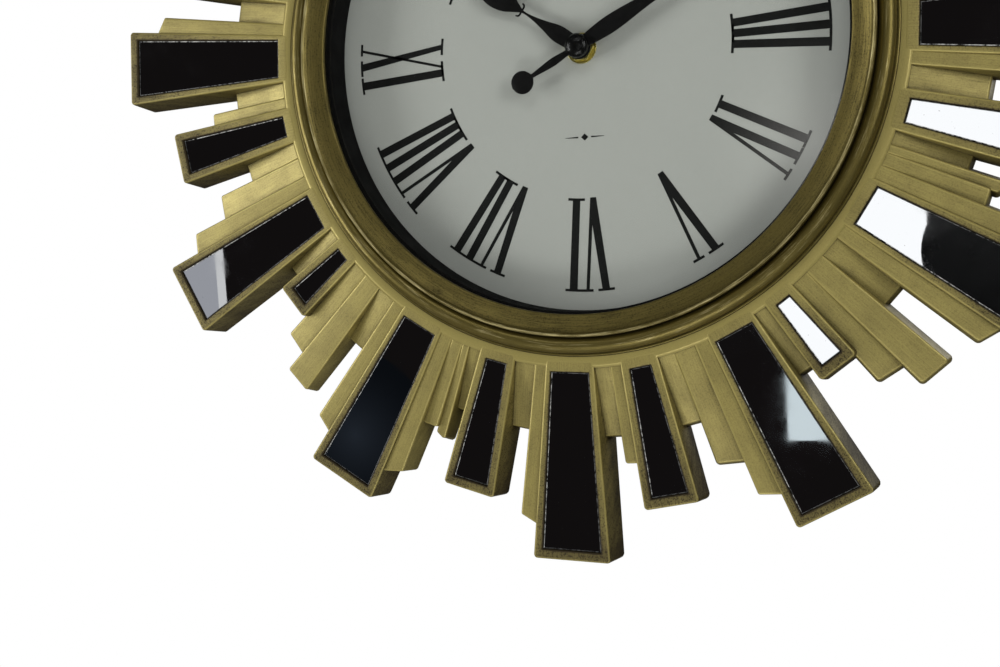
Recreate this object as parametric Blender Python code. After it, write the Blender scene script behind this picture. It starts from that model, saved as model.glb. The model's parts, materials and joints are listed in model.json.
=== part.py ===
"""Sunburst wall clock with a roman dial, mirror rays and a battery movement.

Sizes are in millimetres around the hand arbor. A point is (x, z, height): x to the right and z up as
seen from the front, and height forward from the face of the flat ring. Clock angles are in degrees,
clockwise from twelve. Everything hangs from an empty on the arbor, below the wall nail at the origin.
"""

import math

import bmesh
import bpy
from mathutils.geometry import tessellate_polygon

MM = 0.001
GAP = 0.3

# The clock as a whole
WALL_HEIGHT = -44.0
NAIL_ABOVE_ARBOR = 125.0
RING_SIDES = 60

# Sunburst: angles are counted from the middle of the large ray before each stretch
RAY_TURN = 2.4
RAY_ROOT = 138.5
LARGE_RAY = {"half_angle": 4.5, "length": 230.5, "back": -24.7, "border": 2.5, "mirror_end": 225.8}
SMALL_RAYS = (
    {"middle": 13.8, "half_angle": 3.5, "length": 206.8, "back": -21.4, "border": 3.8, "mirror_end": 202.2},
    {"middle": 20.3, "half_angle": 2.9, "length": 180.6, "back": -21.2, "border": 3.8, "mirror_end": 175.8},
    {"middle": 17.25, "half_angle": 3.45, "length": 207.2, "back": -21.3, "border": 3.8, "mirror_end": 202.4},
)
# Plain slats between the rays: start, end, length at start, length at end, root height, end height
SLATS = (
    (
        (4.2, 6.6, 215.5, 211.5, -1.0, -6.2),
        (6.4, 10.8, 173.5, 173.5, -1.8, -12.2),
        (16.9, 19.8, 173.7, 173.7, -2.0, -12.6),
        (19.5, 21.1, 190.0, 187.5, -1.7, -10.4),
        (20.9, 23.3, 184.6, 185.4, -1.5, -7.0),
        (23.1, 25.9, 211.0, 216.0, -1.2, -5.8),
    ),
    (
        (4.2, 6.9, 215.5, 211.5, -1.0, -6.4),
        (6.7, 10.7, 174.0, 174.0, -1.9, -11.6),
        (10.5, 14.4, 208.0, 206.9, -1.4, -9.0),
        (14.2, 17.9, 196.7, 194.8, -1.7, -10.4),
        (22.8, 25.9, 173.6, 173.6, -1.6, -9.8),
    ),
    (
        (4.2, 7.1, 215.5, 211.5, -1.1, -7.4),
        (6.9, 10.9, 197.0, 194.0, -1.9, -12.8),
        (10.7, 14.3, 174.0, 174.0, -1.7, -10.2),
        (20.2, 22.7, 187.0, 186.4, -1.8, -8.6),
        (22.5, 25.9, 174.2, 174.2, -2.0, -11.4),
    ),
)
SLAT_BACK = -19.0
SIDE_DRAFT = 0.53
END_DRAFT = 1.4
FACE_FALL = 5.45 / 92
RECESS_DEPTH = 2.4
MIRROR_THICKNESS = 1.2
MIRROR_ROOT = 144.3

# Drum, bezel, glass and dial
BEZEL_RADIUS = 137.0
BORE_RADIUS = 126.5
DRUM_RADIUS = 140.0
RIM_INNER_RADIUS = 132.2
SEAT_HEIGHT = -4.0
GLASS_RADIUS = 121.5
GLASS_FRONT = 1.2
GLASS_THICKNESS = 2.2
DIAL_FRONT = -17.5
BOARD_FRONT = -18.1
BOARD_REAR = -21.3
BOARD_SCREW_RADIUS = 129.4
BOARD_SCREW_ANGLES = (60, 180, 300)

# Movement: depths run to the rear from the front of its case
CASE_FRONT = -22.9
CASE_WALL = 1.1
CASE_DEPTH = 16.5
CASE_X = (-28.0, 28.0)
CASE_Z = (-36.0, 20.0)
BUSHING_END = -13.9
BUSHING_RADIUS = 4.0
BATTERY_AXIS = (-27.0, 8.0)
BATTERY_RADIUS = 6.9
TOOTH = 0.2
TOOTH_CLEARANCE = 0.12

# Hands
HOUR_HAND_HEIGHT = -13.0
MINUTE_HAND_HEIGHT = -10.6
HAND_THICKNESS = 0.8
MINUTE_AT = 62.0
HOUR_AT = 305.2
MINUTE_LENGTH = 102.0
HOUR_LENGTH = 68.0
TAIL_DISC_AT, TAIL_DISC_RADIUS = -29.6, 5.2
# Distance along each hand and half its width there
MINUTE_STATIONS = (
    (-30.0, 0.7), (-24.0, 0.9), (-13.0, 1.8), (-4.0, 1.3), (3.0, 2.6), (17.0, 3.9),
    (36.0, 2.6), (60.0, 1.5), (101.0, 0.35), (103.0, 0.3),
)
HOUR_STATIONS = (
    (-1.0, 4.0), (5.0, 4.5), (12.0, 4.5), (19.0, 2.3), (26.0, 0.8), (31.0, 0.6), (34.5, 2.4),
    (40.0, 5.4), (46.0, 6.3), (52.0, 4.9), (59.0, 1.9), (67.0, 0.4), (69.0, 0.3),
)

# Hanger
HANGER_FRONT = -41.6
HANGER_THICKNESS = 1.0
HANGER_HALF_LENGTH = 45.0
HANGER_SCREW = (40.0, 130.0)
KEYHOLE_HEAD_Z = 116.0
KEYHOLE_HEAD_RADIUS = 4.6
KEYHOLE_SLOT_RADIUS = 2.4


def clear_scene():
    for thing in list(bpy.data.objects):
        bpy.data.objects.remove(thing, do_unlink=True)


def material(name, colour, roughness, metallic=0.0):
    made = bpy.data.materials.get(name) or bpy.data.materials.new(name)
    made.use_nodes = True
    shader = made.node_tree.nodes["Principled BSDF"]
    shader.inputs["Base Color"].default_value = (*colour, 1.0)
    shader.inputs["Roughness"].default_value = roughness
    shader.inputs["Metallic"].default_value = metallic
    made.diffuse_color = (*colour, 1.0)
    return made


def gold():
    return material("champagne_gold", (0.42, 0.34, 0.15), 0.45, 0.6)


def mirror_glass():
    return material("mirror_glass", (0.05, 0.05, 0.06), 0.04, 1.0)


def black_paint():
    return material("black_paint", (0.01, 0.01, 0.01), 0.35)


def brass():
    return material("brass", (0.78, 0.6, 0.2), 0.25, 1.0)


def steel():
    return material("steel", (0.55, 0.55, 0.57), 0.3, 1.0)


def copper():
    return material("copper", (0.6, 0.24, 0.1), 0.35, 1.0)


def black_plastic():
    return material("black_plastic", (0.02, 0.02, 0.02), 0.5)


def white_plastic():
    return material("white_plastic", (0.8, 0.8, 0.78), 0.5)


# Placing


def at(x, z, height):
    """A point of the clock as Blender coordinates under the arbor's empty."""
    return (x * MM, -(height - WALL_HEIGHT) * MM, z * MM)


def depth(value):
    """The height of a depth inside the movement."""
    return CASE_FRONT - value


def polar(radius, clock_angle):
    angle = math.radians(clock_angle)
    return (radius * math.sin(angle), radius * math.cos(angle))


def finish(name, mesh_data, look, axis=(0.0, 0.0)):
    """Makes the object from (points, faces), with its origin on the axis and its faces outwards."""
    points, faces = mesh_data
    mesh = bpy.data.meshes.new(name)
    shell = bmesh.new()
    corners = [shell.verts.new(at(*point)) for point in points]
    for face in faces:
        shell.faces.new([corners[i] for i in face])
    bmesh.ops.recalc_face_normals(shell, faces=shell.faces)
    if shell.calc_volume(signed=True) < 0:
        bmesh.ops.reverse_faces(shell, faces=shell.faces)
    shell.to_mesh(mesh)
    shell.free()
    mesh.materials.append(look)
    mesh.shade_smooth()
    mesh.set_sharp_from_angle(angle=math.radians(30))
    made = bpy.data.objects.new(name, mesh)
    made.location = (axis[0] * MM, 0, axis[1] * MM)
    made.parent = bpy.data.objects["clock_axis"]
    bpy.context.scene.collection.objects.link(made)
    return made


# Outlines in the plane of the dial


def circle(radius, sides=24, centre=(0.0, 0.0)):
    turns = (2 * math.pi * i / sides for i in range(sides))
    return [(centre[0] + radius * math.cos(t), centre[1] + radius * math.sin(t)) for t in turns]


def rectangle(low_x, high_x, low_z, high_z):
    return [(low_x, low_z), (high_x, low_z), (high_x, high_z), (low_x, high_z)]


def gear(teeth, pitch_radius, tip_at):
    """A V-toothed outline with one tip at the angle tip_at, in radians from +x towards +z."""
    step = 2 * math.pi / teeth
    outline = []
    for i in range(teeth):
        for radius, turn in ((pitch_radius + TOOTH, i * step), (pitch_radius - TOOTH, (i + 0.5) * step)):
            angle = tip_at + turn
            outline.append((radius * math.cos(angle), radius * math.sin(angle)))
    return outline


def meshing_tip(mate_teeth, mate_tip, direction, teeth):
    """Where a gear's tip goes so that it meshes with its mate, which lies back along the direction."""
    past_tip = ((direction - mate_tip) * mate_teeth / (2 * math.pi)) % 1
    return direction + math.pi - (0.5 - past_tip) * 2 * math.pi / teeth


def smooth(stations, at_distance):
    """A Catmull-Rom curve through (distance, value) stations."""
    last = len(stations) - 1
    i = max(k for k in range(last) if stations[k][0] <= at_distance or k == 0)
    near, far = stations[i], stations[i + 1]
    before, after = stations[max(i - 1, 0)], stations[min(i + 2, last)]
    span = far[0] - near[0]
    t = (at_distance - near[0]) / span
    enter = (far[1] - before[1]) * span / (far[0] - before[0])
    leave = (after[1] - near[1]) * span / (after[0] - near[0])
    return (
        near[1] * (2 * t**3 - 3 * t**2 + 1)
        + enter * (t**3 - 2 * t**2 + t)
        + far[1] * (3 * t**2 - 2 * t**3)
        + leave * (t**3 - t**2)
    )


def blade(distances, half_width, clock_angle):
    """A hand's outline, symmetrical about its length, turned to the clock angle."""
    right = [(distance, half_width(distance)) for distance in distances]
    left = [(distance, -width) for distance, width in reversed(right)]
    along, across = polar(1, clock_angle), polar(1, clock_angle + 90)
    return [(d * along[0] + w * across[0], d * along[1] + w * across[1]) for d, w in right + left]


# Solids as (points, faces)


def wall(low, high):
    """Faces between two loops of point indices with the same count."""
    count = len(low)
    return [(low[i], low[(i + 1) % count], high[(i + 1) % count], high[i]) for i in range(count)]


def cap(points, *loops):
    """Triangles that fill the first loop and leave the others open."""
    flat = [[(points[i][0], points[i][1], 0.0) for i in loop] for loop in loops]
    order = [i for loop in loops for i in loop]
    return [tuple(order[i] for i in triangle) for triangle in tessellate_polygon(flat)]


def plate(outline, low, high, holes=()):
    points, ends = [], []
    for height in (low, high):
        loops = []
        for loop in (outline, *holes):
            loops.append(range(len(points), len(points) + len(loop)))
            points += [(x, z, height) for x, z in loop]
        ends.append(loops)
    faces = [face for below, above in zip(*ends) for face in wall(below, above)]
    for loops in ends:
        faces += cap(points, *loops)
    return points, faces


def reach(outline):
    return max(math.hypot(x, z) for x, z in outline)


def stack(sections):
    """Prisms one on another as one solid: each is (outline, hole or None, low height, high height)."""
    points, rings, faces = [], {}, []

    def ring(loop, height):
        key = (id(loop), height)
        if key not in rings:
            rings[key] = range(len(points), len(points) + len(loop))
            points.extend((x, z, height) for x, z in loop)
        return rings[key]

    def step(first, second, height):
        if first is second:
            return []
        loops = sorted((loop for loop in (first, second) if loop), key=reach, reverse=True)
        return cap(points, *(ring(loop, height) for loop in loops))

    for outline, hole, low, high in sections:
        for loop in (outline, hole):
            if loop:
                faces += wall(ring(loop, low), ring(loop, high))
    for below, above in zip(sections, sections[1:]):
        faces += step(below[0], above[0], above[2])
        faces += step(below[1], above[1], above[2])
    for section, height in ((sections[0], sections[0][2]), (sections[-1], sections[-1][3])):
        faces += cap(points, *(ring(loop, height) for loop in section[:2] if loop))
    return points, faces


def lathe(profile, sides=RING_SIDES):
    """Turns a closed profile of (radius, height) about the arbor."""
    points, rings = [], []
    for radius, height in profile:
        first = len(points)
        if radius == 0:
            points.append((0.0, 0.0, height))
            rings.append([first] * sides)
        else:
            points += [(x, z, height) for x, z in circle(radius, sides)]
            rings.append(range(first, first + sides))
    faces = []
    for near, far in zip(rings, rings[1:] + rings[:1]):
        for face in wall(near, far):
            corners = tuple(dict.fromkeys(face))
            if len(corners) > 2:
                faces.append(corners)
    return points, faces


def arc(centre, radius, start, end, count):
    """Profile points on an arc, angles in degrees from outwards towards the front."""
    turns = (math.radians(start + (end - start) * i / count) for i in range(count + 1))
    return [(centre[0] + radius * math.cos(t), centre[1] + radius * math.sin(t)) for t in turns]


# The sunburst frame


def face_height(radius):
    """The height of a ray's front, which falls away from the ring."""
    return -0.05 - FACE_FALL * (radius - RAY_ROOT)


def wedge(angles, radii, front, back, draft=0.0, end_draft=0.0):
    """A radial bar. angles are (start, end); radii are (root, end at start, end at end); front and
    back are the heights at the root and at the end."""
    points = []
    for heights, wider, longer in ((front, 0.0, 0.0), (back, draft, end_draft)):
        for i, angle in enumerate((angles[0] - wider, angles[1] + wider)):
            points.append((*polar(radii[0], angle), heights[0]))
            points.append((*polar(radii[1 + i] + longer, angle), heights[1]))
    faces = [(0, 1, 3, 2), (4, 6, 7, 5), (0, 4, 5, 1), (2, 3, 7, 6), (0, 2, 6, 4), (1, 5, 7, 3)]
    return points, faces


def helper(name, mesh_data, group):
    """A blank or a cutter: it shapes the frame, and isn't a piece."""
    made = finish(name, mesh_data, gold())
    bpy.context.scene.collection.objects.unlink(made)
    group.objects.link(made)
    made.hide_render = True
    made.display_type = "WIRE"


def rays():
    """Every mirrored ray as its middle angle and its sizes."""
    for hour in range(12):
        yield RAY_TURN + 30 * hour, LARGE_RAY
        small = SMALL_RAYS[hour % 3]
        yield RAY_TURN + 30 * hour + small["middle"], small


def mirror_corners(ray, inset):
    """(half angle at the root, half angle at the end, root radius, end radius) of a mirror recess."""
    root, end = MIRROR_ROOT + inset, ray["mirror_end"] - inset
    if ray is LARGE_RAY:
        half = (ray["half_angle"] - 1.0,) * 2
    else:
        half = tuple(ray["half_angle"] - math.degrees(ray["border"] / r) for r in (root, end))
    return (*(h - math.degrees(inset / r) for h, r in zip(half, (root, end))), root, end)


def mirror_solid(middle, ray, inset, low, high):
    """The recess or its mirror strip, between two heights counted from the ray's face."""
    half_root, half_end, root, end = mirror_corners(ray, inset)
    points = []
    for offset in (high, low):
        for side in (-1, 1):
            points.append((*polar(root, middle + side * half_root), face_height(root) + offset))
            points.append((*polar(end, middle + side * half_end), face_height(end) + offset))
    return points, [(0, 1, 3, 2), (4, 6, 7, 5), (0, 4, 5, 1), (2, 3, 7, 6), (0, 2, 6, 4), (1, 5, 7, 3)]


def drum_profile():
    return [
        (BEZEL_RADIUS + GAP, 0.0),
        (141.0, 0.0),
        (141.8, -1.2),
        (141.8, -25.4),
        (DRUM_RADIUS, -27.0),
        (DRUM_RADIUS, WALL_HEIGHT),
        (RIM_INNER_RADIUS, WALL_HEIGHT),
        (RIM_INNER_RADIUS, BOARD_FRONT + GAP),
        (BORE_RADIUS, BOARD_FRONT + GAP),
        (BORE_RADIUS, SEAT_HEIGHT),
        (BEZEL_RADIUS + GAP, SEAT_HEIGHT),
    ]


def sunburst_frame():
    blanks = bpy.data.collections.new("ray_blanks")
    cutters = bpy.data.collections.new("frame_cutters")
    for group in (blanks, cutters):
        bpy.context.scene.collection.children.link(group)
    for number, (middle, ray) in enumerate(rays()):
        angles = (middle - ray["half_angle"], middle + ray["half_angle"])
        radii = (RAY_ROOT, ray["length"], ray["length"])
        front = (face_height(RAY_ROOT), face_height(ray["length"]))
        blank = wedge(angles, radii, front, (ray["back"],) * 2, SIDE_DRAFT, END_DRAFT)
        helper(f"ray_blank_{number:02d}", blank, blanks)
        recess = mirror_solid(middle, ray, 0.0, -RECESS_DEPTH, 2.0)
        helper(f"recess_{number:02d}", recess, cutters)
    for hour in range(12):
        for number, slat in enumerate(SLATS[hour % 3]):
            start, end, length_start, length_end, root_height, end_height = slat
            angles = (RAY_TURN + 30 * hour + start, RAY_TURN + 30 * hour + end)
            radii = (RAY_ROOT + 0.2 * number + 0.1, length_start, length_end)
            back = (SLAT_BACK - 0.35 * number,) * 2
            bar = wedge(angles, radii, (root_height, end_height), back, SIDE_DRAFT / 2, END_DRAFT / 2)
            helper(f"slat_blank_{hour:02d}_{number}", bar, blanks)
    for angle in BOARD_SCREW_ANGLES:
        hole = circle(1.75, 12, polar(BOARD_SCREW_RADIUS, angle))
        helper(f"board_pilot_{angle}", plate(hole, -28.0, -11.0), cutters)
    for side in (-1, 1):
        hole = circle(1.75, 12, (side * HANGER_SCREW[0], HANGER_SCREW[1]))
        helper(f"hanger_pilot_{side + 1}", plate(hole, WALL_HEIGHT - 2, -30.0), cutters)
    pocket = rectangle(-HANGER_HALF_LENGTH - 0.6, HANGER_HALF_LENGTH + 0.6, 100.0, 150.0)
    helper("hanger_pocket", plate(pocket, WALL_HEIGHT - 2, HANGER_FRONT + GAP), cutters)
    frame = finish("sunburst_frame", lathe(drum_profile()), gold())
    for name, operation, group in (("rays", "UNION", blanks), ("recesses", "DIFFERENCE", cutters)):
        boolean = frame.modifiers.new(name, "BOOLEAN")
        boolean.operation = operation
        boolean.operand_type = "COLLECTION"
        boolean.collection = group


def mirror_strips():
    names = {0: "large", 1: "small"}
    for number, (middle, ray) in enumerate(rays()):
        low = GAP - RECESS_DEPTH
        strip = mirror_solid(middle, ray, GAP, low, low + MIRROR_THICKNESS)
        finish(f"mirror_{names[number % 2]}_{number // 2 + 1:02d}", strip, mirror_glass())


# Bezel, glass and dial


def bezel_ring():
    profile = [(GLASS_RADIUS + 0.4, SEAT_HEIGHT + GAP), (BEZEL_RADIUS, SEAT_HEIGHT + GAP)]
    profile += [(BEZEL_RADIUS, -0.6), (136.3, 0.5), (135.9, -0.2)]
    profile += arc((132.0, 1.2), 3.6, -8, 188, 7)
    profile += [(128.3, 0.6), (128.1, 6.6), (127.6, 7.1), (127.0, 6.7), (122.6, 4.3), (118.6, 3.2)]
    profile += [(118.3, 2.6), (118.3, GLASS_FRONT + GAP), (GLASS_RADIUS + 0.4, GLASS_FRONT + GAP)]
    finish("bezel_ring", lathe(profile), gold())


def glass_lens():
    low, high = GLASS_FRONT - GLASS_THICKNESS, GLASS_FRONT
    look = material("clear_glass", (0.85, 0.88, 0.88), 0.03)
    finish("glass_lens", plate(circle(GLASS_RADIUS, RING_SIDES), low, high), look)


def well_ring():
    top = GLASS_FRONT - GLASS_THICKNESS - GAP
    low, inner = DIAL_FRONT + GAP, 117.3
    profile = [(inner, top), (GLASS_RADIUS, top), (GLASS_RADIUS, SEAT_HEIGHT)]
    profile += [(BORE_RADIUS - GAP, SEAT_HEIGHT), (BORE_RADIUS - GAP, low), (inner, low)]
    finish("well_ring", lathe(profile), black_plastic())


def dial():
    centre_hole = circle(BUSHING_RADIUS + GAP)
    look = material("dial_paper", (0.3, 0.31, 0.29), 0.6)
    face = plate(circle(BORE_RADIUS - GAP, RING_SIDES), DIAL_FRONT - 0.4, DIAL_FRONT, [centre_hole])
    finish("dial_face", face, look)
    holes = [circle(1.9, 12, polar(BOARD_SCREW_RADIUS, angle)) for angle in BOARD_SCREW_ANGLES]
    board = plate(circle(131.8, RING_SIDES), BOARD_REAR, BOARD_FRONT - 0.1, [centre_hole, *holes])
    finish("dial_board", board, material("hardboard", (0.23, 0.13, 0.06), 0.8))


def screw(name, place, head_rear, head, shank):
    """A pan screw driven forward. head and shank are (radius, length)."""
    base = head_rear + head[1]
    outline = stack(
        [(circle(head[0], 16), None, head_rear, base), (circle(shank[0], 12), None, base, base + shank[1])]
    )
    finish(name, outline, steel(), place)


def board_screws():
    for number, angle in enumerate(BOARD_SCREW_ANGLES):
        place = polar(BOARD_SCREW_RADIUS, angle)
        screw(f"board_screw_{number + 1}", place, BOARD_REAR - GAP - 1.8, (2.5, 1.8), (1.4, 9.0))


# Hanger


def keyhole():
    """The outline of the hole: a round entry below and a slot that ends round the nail."""
    neck = math.acos(KEYHOLE_SLOT_RADIUS / KEYHOLE_HEAD_RADIUS)
    slot = [math.pi * i / 8 for i in range(9)]
    entry = [math.pi - neck + (math.pi + 2 * neck) * i / 18 for i in range(19)]

    def rim(turns, z, radius):
        return [(radius * math.cos(t), z + radius * math.sin(t)) for t in turns]

    return rim(slot, NAIL_ABOVE_ARBOR, KEYHOLE_SLOT_RADIUS) + rim(entry, KEYHOLE_HEAD_Z, KEYHOLE_HEAD_RADIUS)


def hanger():
    outline = []
    for x, z, start in ((37, 126, 0), (-37, 126, 90), (-37, 116, 180), (37, 116, 270)):
        turns = [math.radians(start + 22.5 * i) for i in range(5)]
        outline += [(x + 8 * math.cos(t), z + 8 * math.sin(t)) for t in turns]
    holes = [keyhole()]
    for side in (-1, 1):
        holes.append(circle(1.9, 12, (side * HANGER_SCREW[0], HANGER_SCREW[1])))
    rear = HANGER_FRONT - HANGER_THICKNESS
    finish("hanger_plate", plate(outline, rear, HANGER_FRONT, holes), steel())
    for side in (-1, 1):
        place = (side * HANGER_SCREW[0], HANGER_SCREW[1])
        screw(f"hanger_screw_{(side + 3) // 2}", place, rear - 1.0, (3.0, 0.8), (1.4, 9.0))


# Movement: where the arbors stand


def mesh_distance(first, second):
    return first + second + TOOTH_CLEARANCE


def beyond(start, distance, degrees):
    angle = math.radians(degrees)
    return (start[0] + distance * math.cos(angle), start[1] + distance * math.sin(angle))


CENTRE = (0.0, 0.0)
MINUTE_WHEEL_AT = beyond(CENTRE, mesh_distance(1.5, 4.5), -60)
KNOB_AT = beyond(MINUTE_WHEEL_AT, mesh_distance(4.5, 1.5), -10)
THIRD_AT = beyond(CENTRE, mesh_distance(8.0, 1.0), 150)
SECONDS_AT = beyond(THIRD_AT, mesh_distance(7.5, 1.0), 200)
INTERMEDIATE_AT = beyond(SECONDS_AT, mesh_distance(4.0, 1.0), 120)
ROTOR_AT = beyond(INTERMEDIATE_AT, mesh_distance(7.5, 1.0), 60)


def direction(start, end):
    return math.atan2(end[1] - start[1], end[0] - start[0])


def arbor_stack(parts):
    """A stack from (outline, hole, shallow depth, deep depth), listed from the rear to the front."""
    return stack([(outline, hole, depth(deep), depth(shallow)) for outline, hole, shallow, deep in parts])


def motion_work():
    """The minute arbor with its cannon pinion, the minute wheel, the hour wheel and the setting knob."""
    to_minute = direction(CENTRE, MINUTE_WHEEL_AT)
    cannon = gear(12, 1.5, to_minute)
    wheel_tip = meshing_tip(12, to_minute, to_minute, 36)
    minute_wheel = gear(36, 4.5, wheel_tip)
    minute_pinion_tip = to_minute + math.pi
    minute_pinion = gear(10, 1.2, minute_pinion_tip)
    hour_wheel = gear(40, 4.8, meshing_tip(10, minute_pinion_tip, to_minute + math.pi, 40))
    to_knob = direction(MINUTE_WHEEL_AT, KNOB_AT)
    knob_pinion = gear(12, 1.5, meshing_tip(36, wheel_tip, to_knob, 12))

    shaft, tip = circle(0.85), circle(1.2)
    arbor = arbor_stack(
        [
            (shaft, None, 12.0, 14.7),
            (circle(2.4), None, 11.7, 12.0),
            (shaft, None, 4.2, 11.7),
            (cannon, None, 3.0, 4.2),
            (tip, None, CASE_FRONT + 8.4, 3.0),
        ]
    )
    finish("minute_arbor", arbor, brass())
    wheel = arbor_stack(
        [
            (circle(0.6, 12), None, 4.1, 4.8),
            (minute_wheel, None, 3.2, 4.1),
            (circle(0.8, 12), None, 2.7, 3.2),
            (minute_pinion, None, 1.5, 2.7),
        ]
    )
    finish("minute_wheel", wheel, white_plastic(), MINUTE_WHEEL_AT)
    pipe_bore = circle(1.5)
    wheel = arbor_stack(
        [(hour_wheel, pipe_bore, 1.6, 2.5), (circle(2.2), pipe_bore, CASE_FRONT + 11.6, 1.6)]
    )
    finish("hour_wheel", wheel, white_plastic())
    knob = arbor_stack(
        [
            (gear(24, 5.0, 0.0), None, 17.2, 19.4),
            (circle(1.25, 16), None, 4.2, 17.2),
            (knob_pinion, None, 3.0, 4.2),
        ]
    )
    finish("setting_knob", knob, black_plastic(), KNOB_AT)


def wheel_and_pinion(name, place, wheel, pinion, look):
    """A train wheel. wheel and pinion are (outline, shallow depth, deep depth), the pinion to the rear."""
    parts = [(*pinion[:1], None, *pinion[1:]), (circle(0.6, 12), None, wheel[2], pinion[1])]
    finish(name, arbor_stack([*parts, (*wheel[:1], None, *wheel[1:])]), look, place)


def gear_train():
    """From the rotor to the centre wheel: 30 to 1, then 60 to 1."""
    to_rotor = direction(INTERMEDIATE_AT, ROTOR_AT)
    to_intermediate = direction(SECONDS_AT, INTERMEDIATE_AT)
    to_seconds = direction(THIRD_AT, SECONDS_AT)
    to_third = direction(CENTRE, THIRD_AT)

    def pinion(mate_teeth, heading):
        return gear(8, 1.0, meshing_tip(mate_teeth, heading, heading, 8))

    rotor = arbor_stack(
        [
            (circle(0.4, 12), None, 9.8, 10.6),
            (circle(2.3, 20), None, 8.2, 9.8),
            (circle(0.6, 12), None, 7.6, 8.2),
            (pinion(60, to_rotor), None, 6.3, 7.6),
        ]
    )
    finish("rotor", rotor, steel(), ROTOR_AT)
    wheel_and_pinion(
        "intermediate_wheel",
        INTERMEDIATE_AT,
        (gear(60, 7.5, to_rotor), 6.6, 7.2),
        (pinion(32, to_intermediate), 8.0, 9.6),
        white_plastic(),
    )
    wheel_and_pinion(
        "seconds_wheel",
        SECONDS_AT,
        (gear(32, 4.0, to_intermediate), 8.4, 9.2),
        (pinion(60, to_seconds), 10.0, 11.6),
        white_plastic(),
    )
    wheel_and_pinion(
        "third_wheel",
        THIRD_AT,
        (gear(60, 7.5, to_seconds), 10.4, 11.1),
        (pinion(64, to_third), 12.0, 13.6),
        white_plastic(),
    )
    centre = arbor_stack([(gear(64, 8.0, to_third), circle(1.1), 12.3, 13.2)])
    finish("centre_wheel", centre, brass())


def movement_case():
    outside = rectangle(*CASE_X, *CASE_Z)
    across, up = ((low + CASE_WALL, high - CASE_WALL) for low, high in (CASE_X, CASE_Z))
    inside = rectangle(*across, *up)
    bore = circle(2.6)
    lid_front = CASE_DEPTH - 1.0
    tray = arbor_stack(
        [
            (outside, inside, 1.0, lid_front - GAP),
            (outside, bore, 0.0, 1.0),
            (circle(BUSHING_RADIUS), bore, CASE_FRONT - BUSHING_END, 0.0),
        ]
    )
    finish("movement_case", tray, black_plastic())
    battery_door = rectangle(-26.3, 26.3, BATTERY_AXIS[0] - 7.6, BATTERY_AXIS[0] + 7.6)
    lid = plate(outside, depth(CASE_DEPTH), depth(lid_front), [battery_door, circle(1.8, 16, KNOB_AT)])
    finish("movement_lid", lid, black_plastic())
    holes = [circle(1.5, 16), circle(1.7, 16, KNOB_AT)]
    train_plate = plate(rectangle(-26.4, 13.0, -18.5, 18.4), depth(6.0), depth(5.1), holes)
    finish("train_plate", train_plate, white_plastic())


def movement_fixings():
    hole = circle(BUSHING_RADIUS + GAP)
    washer = plate(circle(9.0, 32), BOARD_REAR - GAP - 1.0, BOARD_REAR - GAP, [hole])
    finish("rubber_washer", washer, black_plastic())
    washer = plate(circle(6.9, 32), DIAL_FRONT + GAP, DIAL_FRONT + GAP + 0.5, [hole])
    finish("brass_washer", washer, brass())
    nut_low = DIAL_FRONT + 2 * GAP + 0.5
    finish("hex_nut", plate(circle(6.35, 6), nut_low, BUSHING_END - 0.2, [hole]), brass())


def turned_across(name, profile, sides, place, look):
    """A lathe shape whose axis lies along x: place is (x, z, height) of its zero."""
    made = finish(name, lathe([(r, WALL_HEIGHT + along) for r, along in profile], sides), look)
    made.rotation_euler = (0, 0, math.radians(90))
    made.location = at(*place)


def box(low, high):
    return plate(rectangle(low[0], high[0], low[1], high[1]), low[2], high[2])


def electrics():
    battery_z, battery_depth = BATTERY_AXIS
    case = [(0.0, 0.0), (BATTERY_RADIUS, 0.0), (BATTERY_RADIUS, 49.0), (2.7, 49.0), (2.7, 50.2), (0.0, 50.2)]
    place = (-25.0, battery_z, depth(battery_depth))
    look = material("battery_sleeve", (0.1, 0.1, 0.12), 0.4)
    turned_across("battery", case, 24, place, look)
    for name, low_x, high_x in (("contact_negative", -26.6, -26.1), ("contact_positive", 25.6, 26.1)):
        low = (low_x, battery_z - 5.5, depth(13.5))
        finish(name, box(low, (high_x, battery_z + 5.5, depth(2.5))), steel())
    coil_z, coil_depth = 15.2, 9.0
    ends = [(1.25, 0.0), (2.9, 0.0), (2.9, 1.0), (2.5, 1.0)]
    profile = ends + [(r, 15.0 - along) for r, along in reversed(ends)]
    turned_across("coil", profile, 20, (-5.0, coil_z, depth(coil_depth)), copper())
    left, right = rectangle(-19.0, -5.6, 9.4, 18.2), rectangle(10.6, 14.6, 12.2, 18.2)
    leg = 0.7
    outline = [left[0], left[1], (left[1][0], coil_z - leg), (right[0][0], coil_z - leg), right[0], right[1]]
    outline += [right[2], right[3], (right[3][0], coil_z + leg), (left[2][0], coil_z + leg), left[2], left[3]]
    iron = plate(outline, depth(9.5), depth(8.5), [circle(2.7, 20, ROTOR_AT)])
    finish("stator", iron, steel())
    board, chip = rectangle(15.2, 26.2, -17.0, 9.0), rectangle(18.0, 23.0, -8.0, -3.0)
    electronics = stack([(chip, None, depth(9.4), depth(8.2)), (board, None, depth(8.2), depth(7.0))])
    finish("circuit_board", electronics, material("circuit_green", (0.05, 0.2, 0.08), 0.5))


# Hands


def hand_distances(start, end, count, *dense):
    """Stations along a hand, with extra ones given by hand where its outline turns quickly."""
    even = [start + (end - start) * i / count for i in range(count + 1)]
    return sorted(set(even) | set(dense))


def disc_width(distance, centre, radius):
    return math.sqrt(max(radius**2 - (distance - centre) ** 2, 0.0))


def minute_half_width(distance):
    leaf = smooth(MINUTE_STATIONS, distance) if distance > TAIL_DISC_AT else 0.0
    disc = disc_width(distance, TAIL_DISC_AT, TAIL_DISC_RADIUS)
    return max(leaf, disc, disc_width(distance, 0.0, 5.2), 0.15)


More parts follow.
